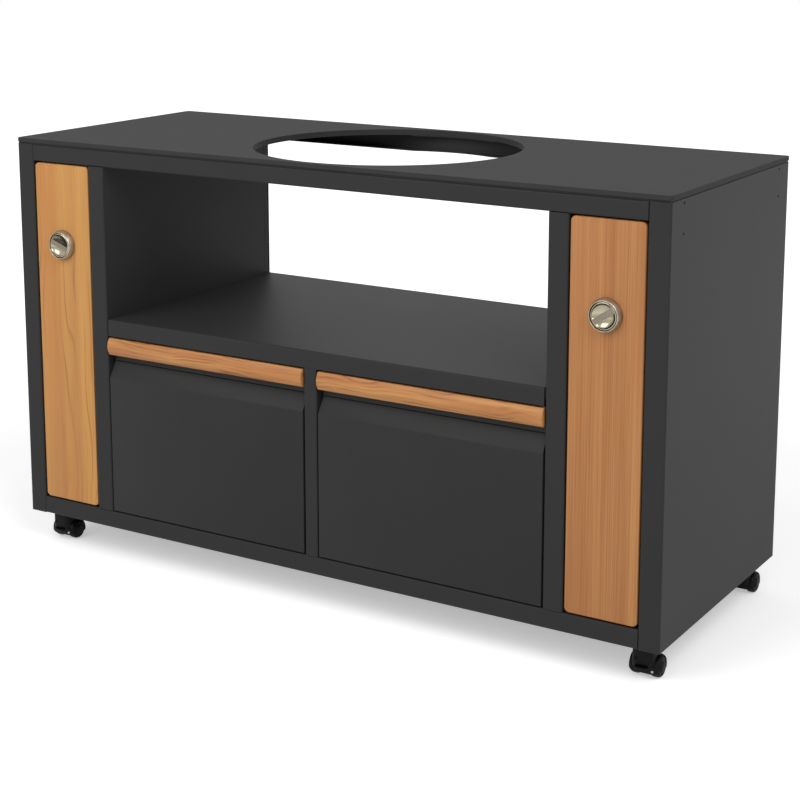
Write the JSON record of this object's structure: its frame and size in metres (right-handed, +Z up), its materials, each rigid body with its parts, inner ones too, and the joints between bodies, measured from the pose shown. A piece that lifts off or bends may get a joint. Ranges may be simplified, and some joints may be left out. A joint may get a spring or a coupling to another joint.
{
  "type": "kamado grill table",
  "caption": "Wheeled steel table for a round ceramic grill: plate top with a round cut-out, open bay, two drawers with wooden pulls and a narrow cupboard with a wooden door at each end.",
  "frame": {"origin": "on the floor, under the middle of the overall box", "axes": "+Z up, the front faces -Y, the right end is at +X"},
  "size_m": [1.413, 0.564, 0.848],
  "materials": {
    "top_plate": "finely textured anthracite powder coat",
    "powder_steel": "matt anthracite powder coat",
    "teak": "oiled teak",
    "stainless": "polished and brushed stainless steel",
    "zinc": "zinc plated",
    "black_plastic": "moulded black nylon",
    "tread": "dark wheel tread"
  },
  "bodies": {
    "frame": {"tabletop": "top_plate", "shelf": "powder_steel", "centre_divider": "powder_steel", "back_panel": "powder_steel", "floor_panel": "powder_steel", "front_top_rail": "powder_steel", "front_bottom_rail": "powder_steel", "back_top_rail": "powder_steel", "back_bottom_rail": "powder_steel", "left_side_panel": "powder_steel", "left_partition": "powder_steel", "left_rear_post": "powder_steel", "left_inner_drawer_channel": "zinc", "left_outer_drawer_channel": "zinc", "right_side_panel": "powder_steel", "right_partition": "powder_steel", "right_rear_post": "powder_steel", "right_inner_drawer_channel": "zinc", "right_outer_drawer_channel": "zinc", "front_left_caster_plate": "zinc", "front_right_caster_plate": "zinc", "back_left_caster_plate": "zinc", "back_right_caster_plate": "zinc"},
    "left_door": {"left_door": "teak", "left_latch_bezel": "stainless", "left_lower_door_pin": "stainless", "left_upper_door_pin": "stainless"},
    "left_latch": {"left_latch_handle": "stainless", "left_latch_cam": "zinc"},
    "left_drawer": {"left_drawer_front": "powder_steel", "left_drawer_pull": "teak", "left_drawer_box": "powder_steel", "left_inner_drawer_slide": "zinc", "left_outer_drawer_slide": "zinc"},
    "right_door": {"right_door": "teak", "right_latch_bezel": "stainless", "right_lower_door_pin": "stainless", "right_upper_door_pin": "stainless"},
    "right_latch": {"right_latch_handle": "stainless", "right_latch_cam": "zinc"},
    "right_drawer": {"right_drawer_front": "powder_steel", "right_drawer_pull": "teak", "right_drawer_box": "powder_steel", "right_inner_drawer_slide": "zinc", "right_outer_drawer_slide": "zinc"},
    "front_left_caster": {"front_left_caster_hood": "black_plastic"},
    "front_left_left_wheel": {"front_left_caster_left_wheel": "tread"},
    "front_left_right_wheel": {"front_left_caster_right_wheel": "tread"},
    "front_left_brake": {"front_left_caster_pedal": "black_plastic"},
    "front_right_caster": {"front_right_caster_hood": "black_plastic"},
    "front_right_left_wheel": {"front_right_caster_left_wheel": "tread"},
    "front_right_right_wheel": {"front_right_caster_right_wheel": "tread"},
    "front_right_brake": {"front_right_caster_pedal": "black_plastic"},
    "back_left_caster": {"back_left_caster_hood": "black_plastic"},
    "back_left_left_wheel": {"back_left_caster_left_wheel": "tread"},
    "back_left_right_wheel": {"back_left_caster_right_wheel": "tread"},
    "back_right_caster": {"back_right_caster_hood": "black_plastic"},
    "back_right_left_wheel": {"back_right_caster_left_wheel": "tread"},
    "back_right_right_wheel": {"back_right_caster_right_wheel": "tread"}
  },
  "joints": [
    {"name": "left_door_hinge", "type": "hinge", "parent": "frame", "child": "left_door", "pos_m": [-0.644, -0.259, 0.45325], "axis": [0, 0, -1], "range_deg": [0, 110]},
    {"name": "left_latch_turn", "type": "hinge", "parent": "left_door", "child": "left_latch", "pos_m": [-0.59375, -0.268, 0.6395], "axis": [0, 1, 0], "range_deg": [0, 90]},
    {"name": "left_drawer_slide", "type": "slide", "parent": "frame", "child": "left_drawer", "axis": [0, -1, 0], "range_m": [0, 0.34]},
    {"name": "right_door_hinge", "type": "hinge", "parent": "frame", "child": "right_door", "pos_m": [0.644, -0.259, 0.45325], "axis": [0, 0, 1], "range_deg": [0, 110]},
    {"name": "right_latch_turn", "type": "hinge", "parent": "right_door", "child": "right_latch", "pos_m": [0.59375, -0.268, 0.6395], "axis": [0, 1, 0], "range_deg": [-90, 0]},
    {"name": "right_drawer_slide", "type": "slide", "parent": "frame", "child": "right_drawer", "axis": [0, -1, 0], "range_m": [0, 0.34]},
    {"name": "front_left_caster_swivel", "type": "hinge", "parent": "frame", "child": "front_left_caster", "pos_m": [-0.659, -0.2215, 0.058], "axis": [0, 0, 1], "continuous": true},
    {"name": "front_left_left_wheel_spin", "type": "hinge", "parent": "front_left_caster", "child": "front_left_left_wheel", "pos_m": [-0.659, -0.2085, 0.019], "axis": [1, 0, 0], "continuous": true},
    {"name": "front_left_right_wheel_spin", "type": "hinge", "parent": "front_left_caster", "child": "front_left_right_wheel", "pos_m": [-0.659, -0.2085, 0.019], "axis": [1, 0, 0], "continuous": true},
    {"name": "front_left_brake_press", "type": "hinge", "parent": "front_left_caster", "child": "front_left_brake", "pos_m": [-0.659, -0.2245, 0.027], "axis": [1, 0, 0], "range_deg": [0, 12]},
    {"name": "front_right_caster_swivel", "type": "hinge", "parent": "frame", "child": "front_right_caster", "pos_m": [0.659, -0.2215, 0.058], "axis": [0, 0, 1], "continuous": true},
    {"name": "front_right_left_wheel_spin", "type": "hinge", "parent": "front_right_caster", "child": "front_right_left_wheel", "pos_m": [0.659, -0.2085, 0.019], "axis": [1, 0, 0], "continuous": true},
    {"name": "front_right_right_wheel_spin", "type": "hinge", "parent": "front_right_caster", "child": "front_right_right_wheel", "pos_m": [0.659, -0.2085, 0.019], "axis": [1, 0, 0], "continuous": true},
    {"name": "front_right_brake_press", "type": "hinge", "parent": "front_right_caster", "child": "front_right_brake", "pos_m": [0.659, -0.2245, 0.027], "axis": [1, 0, 0], "range_deg": [0, 12]},
    {"name": "back_left_caster_swivel", "type": "hinge", "parent": "frame", "child": "back_left_caster", "pos_m": [-0.659, 0.2325, 0.058], "axis": [0, 0, 1], "continuous": true},
    {"name": "back_left_left_wheel_spin", "type": "hinge", "parent": "back_left_caster", "child": "back_left_left_wheel", "pos_m": [-0.659, 0.2455, 0.019], "axis": [1, 0, 0], "continuous": true},
    {"name": "back_left_right_wheel_spin", "type": "hinge", "parent": "back_left_caster", "child": "back_left_right_wheel", "pos_m": [-0.659, 0.2455, 0.019], "axis": [1, 0, 0], "continuous": true},
    {"name": "back_right_caster_swivel", "type": "hinge", "parent": "frame", "child": "back_right_caster", "pos_m": [0.659, 0.2325, 0.058], "axis": [0, 0, 1], "continuous": true},
    {"name": "back_right_left_wheel_spin", "type": "hinge", "parent": "back_right_caster", "child": "back_right_left_wheel", "pos_m": [0.659, 0.2455, 0.019], "axis": [1, 0, 0], "continuous": true},
    {"name": "back_right_right_wheel_spin", "type": "hinge", "parent": "back_right_caster", "child": "back_right_right_wheel", "pos_m": [0.659, 0.2455, 0.019], "axis": [1, 0, 0], "continuous": true}
  ]
}
